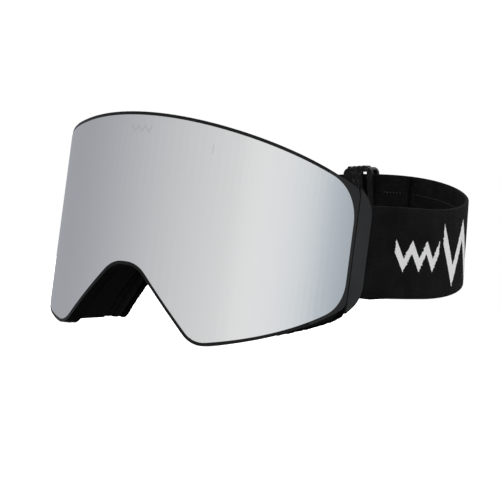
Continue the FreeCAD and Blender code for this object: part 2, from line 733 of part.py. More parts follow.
def strap_profile(half_width):
    """Side view of the webbing: straight at the side, rising round the back."""
    droop = math.radians(size.strap_droop)
    run = size.strap_level_run
    top = []
    for sign in (1, -1):
        level = sign * half_width
        start = Vector(0, -30, level + 30 * math.tan(droop))
        bend = Vector(0, run, level - run * math.tan(droop))
        centre = bend + Vector(0, math.sin(droop), math.cos(droop)) * size.strap_rise_radius
        arc = []
        for sweep in (0, 12, 24):
            angle = math.radians(sweep) - droop
            offset = Vector(0, math.sin(angle), -math.cos(angle)) * size.strap_rise_radius
            arc.append(centre + offset)
        arc[0] = bend
        line = Part.LineSegment(start, bend).toShape()
        top.append((start, line, Part.Arc(*arc).toShape(), arc[-1]))
    upper, lower = top
    edges = [upper[1], upper[2], lower[1], lower[2]]
    edges.append(Part.LineSegment(upper[0], lower[0]).toShape())
    edges.append(Part.LineSegment(upper[3], lower[3]).toShape())
    return extruded(edges, Vector(300, 0, 0)).translated(Vector(-150, 0, 0))


def webbing(start, end, inner, outer):
    """Length of webbing in the strap's own plane."""
    low = Vector(0, 0, -100)
    front = [edge.translated(low) for edge in strap_arcs(start, end, inner)]
    back = [edge.translated(low) for edge in strap_arcs(start, end, outer)]
    ends = []
    for angle in (start, end):
        a = strap_point(angle, inner) + low
        b = strap_point(angle, outer) + low
        ends.append(Part.LineSegment(a, b).toShape())
    slab = extruded(front + back + ends, Vector(0, 0, 220))
    return slab.common(strap_profile(size.strap_width / 2))


half_webbing = size.strap_thickness / 2
STRAP_END = 104.0
STRAP_LEAVE = 97.0
slider_half = math.degrees(size.slider_length / 2 / size.strap_back_radius)
strap_split = -size.slider_angle - slider_half * 0.2


def placed(shape):
    """From the strap's own plane to the model's frame."""
    shape = shape.copy()
    shape.Placement = STRAP_PLACE.multiply(shape.Placement)
    return shape


def clear_of_pivot(shape, radius):
    """Strap cut back to a cylinder around each outrigger's pin."""
    for side in (-1, 1):
        base = Vector(side * size.pin_x, size.pin_y, -60)
        shape = shape.cut(Part.makeCylinder(radius, 120, base))
    return max(shape.Solids, key=lambda solid: solid.Volume)


main_clearance = size.pivot_clearance + size.strap_end_gap
STRAP_JOINT_GAP = 0.1
left_band = placed(webbing(strap_split + STRAP_JOINT_GAP, STRAP_END, -half_webbing, half_webbing))
right_band = webbing(-strap_split, STRAP_END, -half_webbing, half_webbing)
right_band = placed(right_band.mirror(Vector(), Vector(1, 0, 0)))
strap_left = feature("strap_left", clear_of_pivot(left_band, main_clearance))
strap_right = feature("strap_right", clear_of_pivot(right_band, main_clearance))
tail_outer = -half_webbing - size.tail_gap
tail_shape = webbing(strap_split, -size.tail_start, tail_outer - size.strap_thickness, tail_outer)
strap_tail = feature("strap_tail", placed(tail_shape))


def strap_end_shape():
    """Sewn loop of webbing around the left outrigger's bar, up to the pivot clearance."""
    bar = Vector(size.bar_x, size.bar_y, 0)
    inner = size.bar_diameter / 2 + 0.1
    outer = inner + size.strap_thickness
    half = size.strap_width / 2
    low = Vector(0, 0, -half)
    loop = Part.makeCylinder(outer, 2 * half, bar + low)
    leave = placed(Part.Vertex(strap_point(STRAP_LEAVE, -size.strap_tuck))).Point
    leave.z = 0
    run = (leave - bar).normalize()
    across = Vector(run.y, -run.x, 0)
    start = bar + across * (outer - half_webbing)
    tongue = Part.makePolygon([
        start + across * half_webbing,
        leave + across * half_webbing,
        leave - across * half_webbing,
        bar - across * (outer - 0.6),
        start + across * half_webbing,
    ])
    shape = loop.fuse(Part.Face(tongue).extrude(Vector(0, 0, 2 * half)).translated(low))
    shape = shape.cut(Part.makeCylinder(inner, 2 * half, bar + low))
    pin = Vector(size.pin_x, size.pin_y, -half)
    return shape.common(Part.makeCylinder(size.pivot_clearance, 2 * half, pin))


end_shape = strap_end_shape()
strap_end_left = feature("strap_end_left", end_shape)
strap_end_right = feature("strap_end_right", end_shape.mirror(Vector(), Vector(1, 0, 0)))

# ---- slider -----------------------------------------------------------------------------------


def slider_shape():
    """Slider bent to the strap: inner plate with a slot, outer bars and two bridges."""
    inner_face = tail_outer - size.strap_thickness - size.slider_play
    outer_face = half_webbing + size.slider_play
    inside = inner_face - size.slider_plate
    outside = outer_face + size.slider_plate
    start = -size.slider_angle - slider_half
    end = -size.slider_angle + slider_half
    half = size.slider_height / 2
    window = size.strap_width / 2 + size.slider_edge_play

    def block(first, last, low, high, z_low, z_high):
        arcs = strap_arcs(first, last, low) + strap_arcs(first, last, high)
        ends = []
        for angle in (first, last):
            a = strap_point(angle, low)
            b = strap_point(angle, high)
            ends.append(Part.LineSegment(a, b).toShape())
        solid = extruded(arcs + ends, Vector(0, 0, z_high - z_low))
        return solid.translated(Vector(0, 0, z_low))

    def degrees(run):
        return math.degrees(run / size.strap_back_radius)

    middle = strap_edge_height(-size.slider_angle)
    body = block(start, end, inside, outside, middle - half, middle + half)
    deep = outside - inside
    corners = [edge for edge in body.Edges if abs(edge.Length - deep) < 0.01]
    body = body.makeFillet(size.slider_round, corners)
    passage = block(start - 1, end + 1, inner_face, outer_face, middle - window, middle + window)
    body = body.cut(passage)
    bar = degrees(size.slider_bar)
    back_opening = block(
        start + bar, end - bar, outer_face - 0.1, outside + 1, middle - window, middle + window
    )
    body = body.cut(back_opening)
    slot_end = end - bar * 0.8
    slot = block(
        slot_end - degrees(size.slider_slot), slot_end,
        inside - 1, inner_face + 0.1, middle - window + 4, middle + window - 1
    )
    body = body.cut(slot)
    ribs = []
    for number in range(int(size.rib_count)):
        angle = start + degrees(size.slider_round + number * size.rib_pitch)
        base = strap_point(angle, inside + 0.4)
        outward = (strap_point(angle, 1) - strap_point(angle, 0)).normalize()
        base.z = middle + half
        ribs.append(Part.makeCylinder(size.rib_radius, outside - inside - 0.8, base, outward))
    body = body.fuse(ribs).removeSplitter()
    centre = strap_point(-size.slider_angle, 0)
    ahead = strap_edge_height(-size.slider_angle + slider_half)
    behind = strap_edge_height(-size.slider_angle - slider_half)
    slope = math.degrees(math.atan2(ahead - behind, size.slider_length)) + size.slider_tilt
    outward = strap_point(-size.slider_angle, 1) - centre
    body.rotate(Vector(centre.x, centre.y, middle), outward, -slope)
    return body


def strap_edge_height(angle):
    """Height of the middle of the webbing at an angle, in the strap's own plane."""
    droop = math.radians(size.strap_droop)
    run = strap_point(angle, 0).y - size.strap_level_run
    bend_height = -size.strap_level_run * math.tan(droop)
    centre_y = size.strap_rise_radius * math.sin(droop)
    centre_z = bend_height + size.strap_rise_radius * math.cos(droop)
    return centre_z - math.sqrt(size.strap_rise_radius ** 2 - (run - centre_y) ** 2)


strap_slider = feature("strap_slider", placed(slider_shape()))

# ---- checks and export ------------------------------------------------------------------------

NODES = [
    outer_lens, inner_lens, lens_spacer, lens_carrier, lens_magnets, face_frame, frame_magnets,
    foam_base, foam_mid, foam_fleece, vent_foam_top, vent_foam_cheeks,
    outrigger_left, outrigger_right, outrigger_pin_left, outrigger_pin_right,
    strap_left, strap_right, strap_tail, strap_end_left, strap_end_right, strap_slider,
]

doc.recompute()
for item in doc.Objects:
    if "Invalid" in item.State or "Error" in item.State:
        raise RuntimeError("%s failed: %s" % (item.Label, item.State))
for item in NODES:
    if item.Shape.isNull() or not item.Shape.isValid():
        raise RuntimeError("%s has no valid shape" % item.Label)

os.makedirs("parts", exist_ok=True)
for item in NODES:
    item.Shape.exportStep("parts/%s.step" % item.Label)
    box = item.Shape.BoundBox
    print("%-20s solids %d volume %9.1f  x %.1f..%.1f  y %.1f..%.1f  z %.1f..%.1f" % (
        item.Label, len(item.Shape.Solids), item.Shape.Volume,
        box.XMin, box.XMax, box.YMin, box.YMax, box.ZMin, box.ZMax))
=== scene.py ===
"""Ski goggles: finishes of the hard parts, soft face foams, the woven strap and the stage."""
import bisect
import math

import bmesh
import bpy
from mathutils import Matrix, Vector


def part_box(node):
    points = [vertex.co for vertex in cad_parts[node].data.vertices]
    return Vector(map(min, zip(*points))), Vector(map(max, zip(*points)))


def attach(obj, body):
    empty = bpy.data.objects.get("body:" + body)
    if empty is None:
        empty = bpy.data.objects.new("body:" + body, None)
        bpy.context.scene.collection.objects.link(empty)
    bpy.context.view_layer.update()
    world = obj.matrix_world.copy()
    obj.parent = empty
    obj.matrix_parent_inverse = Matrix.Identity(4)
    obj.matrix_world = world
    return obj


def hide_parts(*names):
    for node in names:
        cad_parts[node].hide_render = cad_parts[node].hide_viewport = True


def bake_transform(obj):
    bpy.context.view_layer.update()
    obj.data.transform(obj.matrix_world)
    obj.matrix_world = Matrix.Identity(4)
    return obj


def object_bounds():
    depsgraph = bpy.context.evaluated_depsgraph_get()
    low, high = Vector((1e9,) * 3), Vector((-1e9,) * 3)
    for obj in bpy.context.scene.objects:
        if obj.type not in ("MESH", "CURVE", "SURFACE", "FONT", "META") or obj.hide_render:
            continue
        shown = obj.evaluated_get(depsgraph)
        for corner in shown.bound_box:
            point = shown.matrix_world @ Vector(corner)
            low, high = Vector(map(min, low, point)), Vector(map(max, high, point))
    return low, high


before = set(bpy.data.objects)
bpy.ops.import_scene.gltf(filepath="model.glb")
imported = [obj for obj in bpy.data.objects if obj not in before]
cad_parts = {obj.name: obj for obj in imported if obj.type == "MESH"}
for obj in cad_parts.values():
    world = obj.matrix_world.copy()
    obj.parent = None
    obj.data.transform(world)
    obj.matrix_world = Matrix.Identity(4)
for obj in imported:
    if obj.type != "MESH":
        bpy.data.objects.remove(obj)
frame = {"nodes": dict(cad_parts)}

bl_info = {
    "name": "Ski Goggles",
    "version": (1, 0, 0),
    "blender": (4, 5, 0),
    "location": "View3D > Sidebar > Goggles",
    "description": "Builds the soft parts, finishes and stage of a pair of ski goggles",
    "category": "Object",
}

MM = 0.001
NODES = frame["nodes"]
CAD_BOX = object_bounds()


# ---- settings ---------------------------------------------------------------------------------

def length(name, description, millimetres):
    return bpy.props.FloatProperty(
        name=name, description=description, default=millimetres * MM,
        unit="LENGTH", precision=5,
    )


def angle(name, description, degrees):
    return bpy.props.FloatProperty(
        name=name, description=description, default=math.radians(degrees), subtype="ANGLE"
    )


def colour(name, description, value):
    return bpy.props.FloatVectorProperty(
        name=name, description=description, default=value, subtype="COLOR",
        size=3, min=0.0, max=1.0,
    )


class GoggleStrapSizes(bpy.types.PropertyGroup):
    """The line that the webbing follows round the head, and its make"""

    width: length("Width", "Webbing, edge to edge", 41.7)
    thickness: length("Thickness", "Webbing", 1.6)
    selvedge: length("Selvedge", "Rounding of the webbing's edges", 0.6)
    back_radius: length("Back radius", "Plan radius round the back", 87.7)
    back_centre: length("Back centre", "Centre of that arc from the strap's start", 53.0)
    side_radius: length("Side radius", "Plan radius along the side", 135.6)
    origin: length("Start", "Start of the strap's own plane", -14.0)
    level_run: length("Level run", "Straight part of the strap's edge", 45.0)
    rise_radius: length("Rise radius", "Radius of the edge's rise", 300.0)
    bar_x: length("Bar, sideways", "Strap bar of an outrigger", 82.6)
    bar_y: length("Bar, front to back", "Strap bar of an outrigger", -8.8)
    bar_wrap: length("Wrap radius", "Middle of the webbing round the bar", 2.2)
    fold_gap: length("Fold gap", "Between the band and its folded end", 0.35)
    tail_gap: length("Tail gap", "Between the band and the doubled tail", 0.15)
    split_gap: length("Split gap", "Between the two bands' ends", 0.2)
    join: angle("Join", "Where the side arc meets the back arc", 70.35)
    lift: angle("Lift", "Tilt of the strap's own plane", 6.0)
    droop: angle("Droop", "Fall of the edge at the side", 2.0)
    leave: angle("Leave", "Where the webbing turns in to the outrigger", 96.0)
    split: angle("Split", "End of the left band, inside the slider", -13.98)
    tail: angle("Tail end", "Free end of the doubled tail", 7.0)


class GoggleSoftSizes(bpy.types.PropertyGroup):
    """How the foams and trims are finished"""

    foam_voxel: length("Foam voxel", "Mesh size of the foams", 1.1)
    fleece_voxel: length("Fleece voxel", "Mesh size of the fleece", 0.8)
    fleece_nap: length("Fleece nap", "Height of the fleece's nap", 0.55)
    bead_radius: length("Grip bead", "Radius of a silicone grip bead", 0.5)
    bead_pitch: length("Grip bead spacing", "Along the strap", 2.2)
    bead_inset: length("Grip bead inset", "From the webbing's edge to a row of beads", 9.5)
    bead_reach: length("Grip bead reach", "Last bead, from the middle of the back", 140.0)
    bead_slider: length("Grip bead start", "First bead past the slider", 36.0)
    stitch: length("Stitch", "Length of a stitch", 2.2)
    thread: length("Thread", "Radius of the sewing thread", 0.24)
    stitch_inset: length("Stitch inset", "Unsewn webbing above and below a row", 2.5)
    lens_bevel: length("Lens edge", "Polished edge of the lens", 0.3)


class GogglePatternSizes(bpy.types.PropertyGroup):
    """The zigzags on the strap and the lens, and where the rim's finish changes"""

    small_pitch: length("Small pitch", "Small zigzag on the strap", 11.6)
    small_rise: length("Small rise", "Small zigzag on the strap", 8.5)
    small_stroke: length("Small stroke", "Small zigzag on the strap", 3.1)
    small_from: length("Small start", "From the middle of the back", 135.0)
    small_to: length("Small end", "From the middle of the back", 169.8)
    large_pitch: length("Large pitch", "Large zigzag on the strap", 26.0)
    large_rise: length("Large rise", "Large zigzag on the strap", 21.0)
    large_stroke: length("Large stroke", "Large zigzag on the strap", 5.0)
    large_from: length("Large start", "From the middle of the back", 53.0)
    large_to: length("Large end", "From the middle of the back", 131.0)
    drop: length("Drop", "Both zigzags below the middle of the webbing", 1.0)
    fray: length("Fray", "Stray of the knitted edges", 1.6)
    mark_pitch: length("Mark pitch", "Etched zigzag on the lens", 4.2)
    mark_rise: length("Mark rise", "Etched zigzag on the lens", 2.6)
    mark_stroke: length("Mark stroke", "Etched zigzag on the lens", 0.45)
    mark_half: length("Mark half width", "Etched zigzag on the lens", 6.3)
    mark_height: length("Mark height", "Above the middle of the goggles", 42.6)
    temple: length("Temple", "Where the rim turns satin, from the middle", 80.5)
    notch: length("Notch", "Half width of the line between the rim's finishes", 0.25)


class GoggleColours(bpy.types.PropertyGroup):
    """Colours of the finishes"""

    mirror: colour("Mirror", "Silver coating of the lens", (0.90, 0.905, 0.91))
    rim: colour("Rim", "Lens carrier", (0.005, 0.005, 0.005))
    satin: colour("Satin plastic", "Outriggers and temple rims", (0.024, 0.024, 0.0247))
    frame: colour("Frame", "Soft face frame", (0.004, 0.004, 0.0042))
    foam: colour("Foam", "Face foam", (0.014, 0.014, 0.0145))
    fleece: colour("Fleece", "Face fleece", (0.0045, 0.0045, 0.0047))
    webbing: colour("Webbing", "Elastic strap", (0.0075, 0.0075, 0.0078))
    yarn: colour("Pattern yarn", "White yarn of the strap's pattern", (0.95, 0.95, 0.95))
    slider: colour("Slider", "Strap slider", (0.008, 0.008, 0.0082))
    steel: colour("Steel", "Pins and magnets", (0.55, 0.55, 0.54))


# ---- making and placing -----------------------------------------------------------------------

def alone(obj):
    """Makes obj the only selected and the active object."""
    if bpy.context.object and bpy.context.object.mode != "OBJECT":
        bpy.ops.object.mode_set(mode="OBJECT")
    bpy.ops.object.select_all(action="DESELECT")
    obj.select_set(True)
    bpy.context.view_layer.objects.active = obj


def clear_selection():
    bpy.ops.object.select_all(action="DESELECT")


def finish_modifiers(obj):
    alone(obj)
    for modifier in list(obj.modifiers):
        bpy.ops.object.modifier_apply(modifier=modifier.name)


def settle(obj):
    """Puts the object's place, turn and size into its mesh."""
    alone(obj)
    bpy.ops.object.transform_apply(location=True, rotation=True, scale=True)


def copy_of(node, name):
    """Copy of a CAD node with its loose triangles merged."""
    obj = bpy.data.objects.new(name, NODES[node].data.copy())
    obj.data.materials.clear()
    bpy.context.scene.collection.objects.link(obj)
    alone(obj)
    bpy.ops.object.mode_set(mode="EDIT")
    bpy.ops.mesh.select_all(action="SELECT")
    bpy.ops.mesh.remove_doubles(threshold=0.01 * MM)
    bpy.ops.object.mode_set(mode="OBJECT")
    return obj


def face_outwards(obj):
    """Turns a closed shape right side out."""
    mesh = bmesh.new()
    mesh.from_mesh(obj.data)
    if mesh.calc_volume(signed=True) < 0:
        bmesh.ops.reverse_faces(mesh, faces=mesh.faces)
        mesh.to_mesh(obj.data)
    mesh.free()


def smooth(obj, degrees):
    alone(obj)
    bpy.ops.object.shade_smooth_by_angle(angle=math.radians(degrees))


def levelled(obj, low, high, step):
    """Cuts a tall shape across at even heights, so that its shading stays true in between."""
    alone(obj)
    bpy.ops.object.mode_set(mode="EDIT")
    height = low
    while height <= high:
        bpy.ops.mesh.select_all(action="SELECT")
        bpy.ops.mesh.bisect(plane_co=(0, 0, height), plane_no=(0, 0, 1))
        height += step
    bpy.ops.mesh.select_all(action="SELECT")
    bpy.ops.mesh.dissolve_degenerate(threshold=0.05 * MM)
    bpy.ops.mesh.select_all(action="SELECT")
    bpy.ops.mesh.remove_doubles(threshold=0.05 * MM)
    bpy.ops.object.mode_set(mode="OBJECT")


def bevelled(obj, width, segments=2, degrees=35):
    """Softens the sharp edges of a solid."""
    modifier = obj.modifiers.new("edges", "BEVEL")
    modifier.width = width
    modifier.segments = segments
    modifier.limit_method = "ANGLE"
    modifier.angle_limit = math.radians(degrees)
    finish_modifiers(obj)
    smooth(obj, 60)
    flats = obj.modifiers.new("flats", "WEIGHTED_NORMAL")
    flats.weight = 80
    flats.keep_sharp = True
    finish_modifiers(obj)


def dress(obj, material):
    obj.data.materials.clear()
    obj.data.materials.append(material)


# ---- the strap's line -------------------------------------------------------------------------

STRAP_STEP = 0.5  # degrees
BEND_BEFORE = 14  # places eased before the turn in to the outrigger
BEND_AFTER = 10  # places eased after it
EASINGS = 6
ARRIVE_STEPS = 14
WRAP_STEP = 10  # degrees
RETURN_STEPS = 8
UPRIGHT_UNTIL = -6 * MM  # the webbing stands upright at the outrigger
TILTED_BY = 30 * MM  # and has its full tilt this much further back


class StrapLine:
    """Middle line of the webbing, from the middle of the back round to an outrigger's bar.

    A flat place (run, off, up) is laid on it: run along the line, off outwards, up across.
    """

    def __init__(self, sizes):
        self.sizes = sizes
        places = [self.arc_place(math.radians(step * STRAP_STEP))
                  for step in range(int(math.degrees(sizes.leave) / STRAP_STEP) + 1)]
        turned = len(places)
        places += self.bar_places(places)
        first, last = turned - BEND_BEFORE, turned + BEND_AFTER
        for _ in range(EASINGS):
            places[first:last] = [
                (places[i - 1] + places[i] * 2 + places[i + 1]) / 4 for i in range(first, last)
            ]
        self.places = places
        self.runs = [0.0]
        for a, b in zip(places, places[1:]):
            self.runs.append(self.runs[-1] + (b - a).length)
        lifted = Vector((0, -math.sin(sizes.lift), math.cos(sizes.lift)))
        self.ups = []
        for place in places:
            share = min(1.0, max(0.0, (place.y - UPRIGHT_UNTIL) / TILTED_BY))
            self.ups.append(Vector((0, 0, 1)).lerp(lifted, share).normalized())

    def arc_place(self, turn):
        """Middle of the webbing at an angle from the middle of the back, in the goggles' frame."""
        sizes = self.sizes
        centre = Vector((0, sizes.back_centre))
        radius = sizes.back_radius
        if turn > sizes.join:
            limit = math.pi / 2 - sizes.join
            shift = sizes.back_radius - sizes.side_radius
            centre += Vector((math.cos(limit), math.sin(limit))) * shift
            radius = sizes.side_radius
        x = centre.x + radius * math.sin(turn)
        y = centre.y + radius * math.cos(turn)
        bend = -sizes.level_run * math.tan(sizes.droop)
        middle_y = sizes.rise_radius * math.sin(sizes.droop)
        middle_z = bend + sizes.rise_radius * math.cos(sizes.droop)
        run = y - sizes.level_run
        height = middle_z - math.sqrt(sizes.rise_radius ** 2 - (run - middle_y) ** 2)
        if run < 0:
            height = -y * math.tan(sizes.droop)
        tilt = Matrix.Rotation(sizes.lift, 3, "X")
        return tilt @ Vector((x, y, height)) + Vector((0, sizes.origin, 0))

    def bar_places(self, places):
        """From the side, round the outrigger's bar and back along the strap's inner face."""
        sizes = self.sizes
        bar = Vector((sizes.bar_x, sizes.bar_y, 0))
        last = places[-1]
        start_height = last.z
        flat = Vector((last.x, last.y, 0))
        away = flat - bar
        reach = away.length
        away.normalize()
        side = Vector((away.y, -away.x, 0))
        lean = math.acos(sizes.bar_wrap / reach)
        spoke = away * math.cos(lean) + side * math.sin(lean)
        touch = bar + spoke * sizes.bar_wrap
        found = []
        for number in range(1, ARRIVE_STEPS + 1):
            point = flat.lerp(touch, number / ARRIVE_STEPS)
            point.z = start_height * (1 - number / ARRIVE_STEPS)
            found.append(point)
        for degrees in range(WRAP_STEP, 180 + WRAP_STEP, WRAP_STEP):
            turn = Matrix.Rotation(-math.radians(degrees), 3, "Z")
            found.append(bar + turn @ spoke * sizes.bar_wrap)
        inner_end = flat - side * (sizes.thickness + sizes.fold_gap)
        meet = touch.lerp(inner_end, 0.45) - side * (sizes.thickness * 0.65)
        last = found[-1]
        shares = [number / RETURN_STEPS for number in range(1, RETURN_STEPS + 1)]
        found += [last.lerp(meet, share) for share in shares]
        for share in shares:
            point = meet.lerp(inner_end, share)
            point.z = start_height * share
            found.append(point)
        return found

    @property
    def end(self):
        return self.runs[-1]

    def run_at(self, turn):
        """Run along the line at an angle from the middle of the back."""
        if turn < 0:
            return -self.run_at(-turn)
        step = math.degrees(turn) / STRAP_STEP
        index = int(step)
        return self.runs[index] + (self.runs[index + 1] - self.runs[index]) * (step - index)

    def lay(self, run, off, up):
        """Place in space of a flat place; a run below zero is on the other side of the head."""
        reach = min(abs(run), self.end - 1e-6)
        high = bisect.bisect_right(self.runs, reach)
        low = high - 1
        share = (reach - self.runs[low]) / (self.runs[high] - self.runs[low])
        ahead = self.heading(low).lerp(self.heading(high), share).normalized()
        across = self.ups[low].lerp(self.ups[high], share)
        out = across.cross(ahead).normalized()
        point = self.places[low].lerp(self.places[high], share) + out * off + across * up
        if run < 0:
            point.x = -point.x
        return point

    def heading(self, index):
        if index == 0:
            return Vector((1, 0, 0))
        after = min(index + 1, len(self.places) - 1)
        return (self.places[after] - self.places[index - 1]).normalized()


def dress_webbing(band, outer, inner):
    """Gives a flat band one finish on its outer face and one on the rest."""
    band.data.materials.clear()
    band.data.materials.append(MATERIALS[outer])
    band.data.materials.append(MATERIALS[inner])
    for face in band.data.polygons:
        face.material_index = 0 if face.normal.y > 0.7 else 1


def lay_on_strap(obj, line):
    """Lays a flat piece on the strap and keeps its flat places, in metres, as its UV map."""
    layer = obj.data.uv_layers.get("cloth") or obj.data.uv_layers.new(name="cloth")
    obj.data.uv_layers.active = layer
    layer.active_render = True
    for loop in obj.data.loops:
        flat = obj.data.vertices[loop.vertex_index].co
        layer.data[loop.index].uv = (flat.x, flat.z)
    for vertex in obj.data.vertices:
        vertex.co = line.lay(vertex.co.x, vertex.co.y, vertex.co.z)
    for other in [item for item in obj.data.uv_layers if item.name != "cloth"]:
        obj.data.uv_layers.remove(other)


def flat_band(name, start, end, width, thickness, selvedge, off=0.0, cell=1.3 * MM):
    """Straight length of webbing with rounded selvedges, lying along X with its face to Y."""
    clear_selection()
    bpy.ops.mesh.primitive_grid_add(
        x_subdivisions=max(2, int((end - start) / cell)), y_subdivisions=14,
        size=1.0, location=((start + end) / 2, off, 0), rotation=(math.pi / 2, 0, 0),
    )
    band = bpy.context.object
    band.name = name
    band.scale = (end - start, width, 1)
    settle(band)
    wall = band.modifiers.new("thickness", "SOLIDIFY")
    wall.thickness = thickness
    wall.offset = 0
    finish_modifiers(band)
    edge = band.modifiers.new("selvedge", "BEVEL")
    edge.width = selvedge
    edge.segments = 3
    edge.limit_method = "ANGLE"
    edge.angle_limit = math.radians(50)
    finish_modifiers(band)
    face_outwards(band)
    return band


def follow_outrigger(obj):
    """Puts a piece's place, turn and size into its mesh."""
    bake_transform(obj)


def in_a_row(obj, count, step):
    """Repeats a shape along an offset."""
    row = obj.modifiers.new("row", "ARRAY")
    row.count = count
    row.use_relative_offset = False
    row.use_constant_offset = True
    row.constant_offset_displace = step
    finish_modifiers(obj)


# ---- shader groups ----------------------------------------------------------------------------

FULL_TURN = 6.2832


def put(tree, kind, inputs=None, **settings):
    """Adds a node, sets its options and its inputs: a value is set, a socket is linked."""
    node = tree.nodes.new(kind)
    for key, value in settings.items():
        setattr(node, key, value)
    for key, value in (inputs or {}).items():
        if isinstance(value, bpy.types.NodeSocket):
            tree.links.new(value, node.inputs[key])
        else:
            node.inputs[key].default_value = value
    return node


def maths(tree, operation, a, b=0.0, clamp=False):
    node = put(tree, "ShaderNodeMath", {0: a, 1: b}, operation=operation, use_clamp=clamp)
    return node.outputs[0]


def new_group(name, inputs, outputs):
    """Shader group with named float, colour or vector sockets."""
    tree = bpy.data.node_groups.new(name, "ShaderNodeTree")
    kinds = {"value": "NodeSocketFloat", "colour": "NodeSocketColor", "vector": "NodeSocketVector"}
    for label, kind in inputs:
        tree.interface.new_socket(label, in_out="INPUT", socket_type=kinds[kind])
    for label, kind in outputs:
        tree.interface.new_socket(label, in_out="OUTPUT", socket_type=kinds[kind])
    return tree, tree.nodes.new("NodeGroupInput"), tree.nodes.new("NodeGroupOutput")


def grain_group():
    """Fine moulded grain with cloudy wear: a height and a slow mask."""
    tree, given, result = new_group(
        "moulded grain", [("Vector", "vector"), ("Fine", "value"), ("Slow", "value")],
        [("Height", "value"), ("Mask", "value")],
    )
    fine = put(tree, "ShaderNodeTexNoise", {
        "Vector": given.outputs["Vector"], "Scale": given.outputs["Fine"], "Detail": 3.0})
    slow = put(tree, "ShaderNodeTexNoise", {
        "Vector": given.outputs["Vector"], "Scale": given.outputs["Slow"], "Detail": 4.0})
    mask = put(tree, "ShaderNodeMapRange", {
        "Value": slow.outputs["Fac"], "From Min": 0.35, "From Max": 0.68})
    tree.links.new(fine.outputs["Fac"], result.inputs["Height"])
    tree.links.new(mask.outputs["Result"], result.inputs["Mask"])
    return tree


def cell_group():
    """Open foam cells: a height and a mask of the pores, used to paint shade into the pores."""
    tree, given, result = new_group(
        "foam cells", [("Vector", "vector"), ("Cells", "value")],
        [("Height", "value"), ("Painted pore shade", "value")],
    )
    cells = put(tree, "ShaderNodeTexVoronoi", {
        "Vector": given.outputs["Vector"], "Scale": given.outputs["Cells"]})
    pores = put(tree, "ShaderNodeMapRange", {
        "Value": cells.outputs["Distance"], "From Min": 0.15, "From Max": 0.55})
    noise = put(tree, "ShaderNodeTexNoise", {
        "Vector": given.outputs["Vector"], "Scale": 240.0, "Detail": 2.0})
    height = maths(tree, "MULTIPLY", pores.outputs["Result"], 0.7)
    both = maths(tree, "ADD", height, noise.outputs["Fac"])
    tree.links.new(both, result.inputs["Height"])
    # this mask sets the painted shade in the pores' hollows
    tree.links.new(pores.outputs["Result"], result.inputs["Painted pore shade"])
    return tree


def weave_group():
    """Knitted elastic laid along a UV map in metres: ribs across, yarns along, lint, and a shade
    mask that is broad random tone plus painted shade between the ribs.
    """
    tree, given, result = new_group(
        "knitted elastic", [("Vector", "vector"), ("Rib", "value"), ("Yarn", "value")],
        [("Height", "value"), ("Shade", "value"), ("Lint", "value")],
    )
    split = put(tree, "ShaderNodeSeparateXYZ", {0: given.outputs["Vector"]})
    along = maths(tree, "DIVIDE", split.outputs["X"], given.outputs["Yarn"])
    up = maths(tree, "DIVIDE", split.outputs["Y"], given.outputs["Rib"])
    row = maths(tree, "FLOOR", up)
    offset = maths(tree, "MULTIPLY", row, 0.5)
    shifted = maths(tree, "ADD", along, offset)
    stitch = maths(tree, "SINE", maths(tree, "MULTIPLY", shifted, FULL_TURN))
    rib = maths(tree, "SINE", maths(tree, "MULTIPLY", up, FULL_TURN))
    stitch_part = maths(tree, "MULTIPLY", stitch, 0.45)
    height = maths(tree, "ADD", stitch_part, maths(tree, "MULTIPLY", rib, 0.55))
    broad = put(tree, "ShaderNodeTexNoise", {
        "Vector": given.outputs["Vector"], "Scale": 90.0, "Detail": 5.0})
    # painted shade: the knit's rib crests lighter and its grooves darker, mixed with broad random
    # tone
    shade = put(tree, "ShaderNodeMapRange", {
        "Value": maths(tree, "ADD", maths(tree, "MULTIPLY", height, 0.2), broad.outputs["Fac"]),
        "From Min": 0.25, "From Max": 0.85})
    specks = put(tree, "ShaderNodeTexNoise", {
        "Vector": given.outputs["Vector"], "Scale": 1500.0, "Detail": 1.0})
    lint = put(tree, "ShaderNodeMapRange", {
        "Value": specks.outputs["Fac"], "From Min": 0.68, "From Max": 0.78})
    tree.links.new(height, result.inputs["Height"])
    tree.links.new(shade.outputs["Result"], result.inputs["Shade"])
    tree.links.new(lint.outputs["Result"], result.inputs["Lint"])
    return tree


def zigzag_group():
    """Stroke of a zigzag between two places along its run."""
    tree, given, result = new_group(
        "zigzag stroke",
        [("Along", "value"), ("Up", "value"), ("Pitch", "value"), ("Rise", "value"),
         ("Stroke", "value"), ("From", "value"), ("To", "value")],
        [("Mask", "value")],
    )
    travelled = maths(tree, "SUBTRACT", given.outputs["Along"], given.outputs["From"])
    share = maths(tree, "DIVIDE", travelled, given.outputs["Pitch"])
    wave = maths(tree, "ABSOLUTE", maths(tree, "SUBTRACT", maths(tree, "FRACT", share), 0.5))
    wave = maths(tree, "SUBTRACT", maths(tree, "MULTIPLY", wave, 2.0), 0.5)
    target = maths(tree, "MULTIPLY", wave, given.outputs["Rise"])
    miss = maths(tree, "ABSOLUTE", maths(tree, "SUBTRACT", given.outputs["Up"], target))
    inside = maths(tree, "LESS_THAN", miss, given.outputs["Stroke"])
    started = maths(tree, "GREATER_THAN", given.outputs["Along"], given.outputs["From"])
    stopped = maths(tree, "LESS_THAN", given.outputs["Along"], given.outputs["To"])
    mask = maths(tree, "MULTIPLY", inside, maths(tree, "MULTIPLY", started, stopped))
    tree.links.new(mask, result.inputs["Mask"])
    return tree


GROUP_MAKERS = {
    "moulded grain": grain_group, "foam cells": cell_group,
    "knitted elastic": weave_group, "zigzag stroke": zigzag_group,
}
GROUPS = {}
MATERIALS = {}


def group_node(tree, name, inputs):
    """Adds a shared group, which is made the first time that it is used."""
    if name not in GROUPS:
        GROUPS[name] = GROUP_MAKERS[name]()
    return put(tree, "ShaderNodeGroup", inputs, node_tree=GROUPS[name])


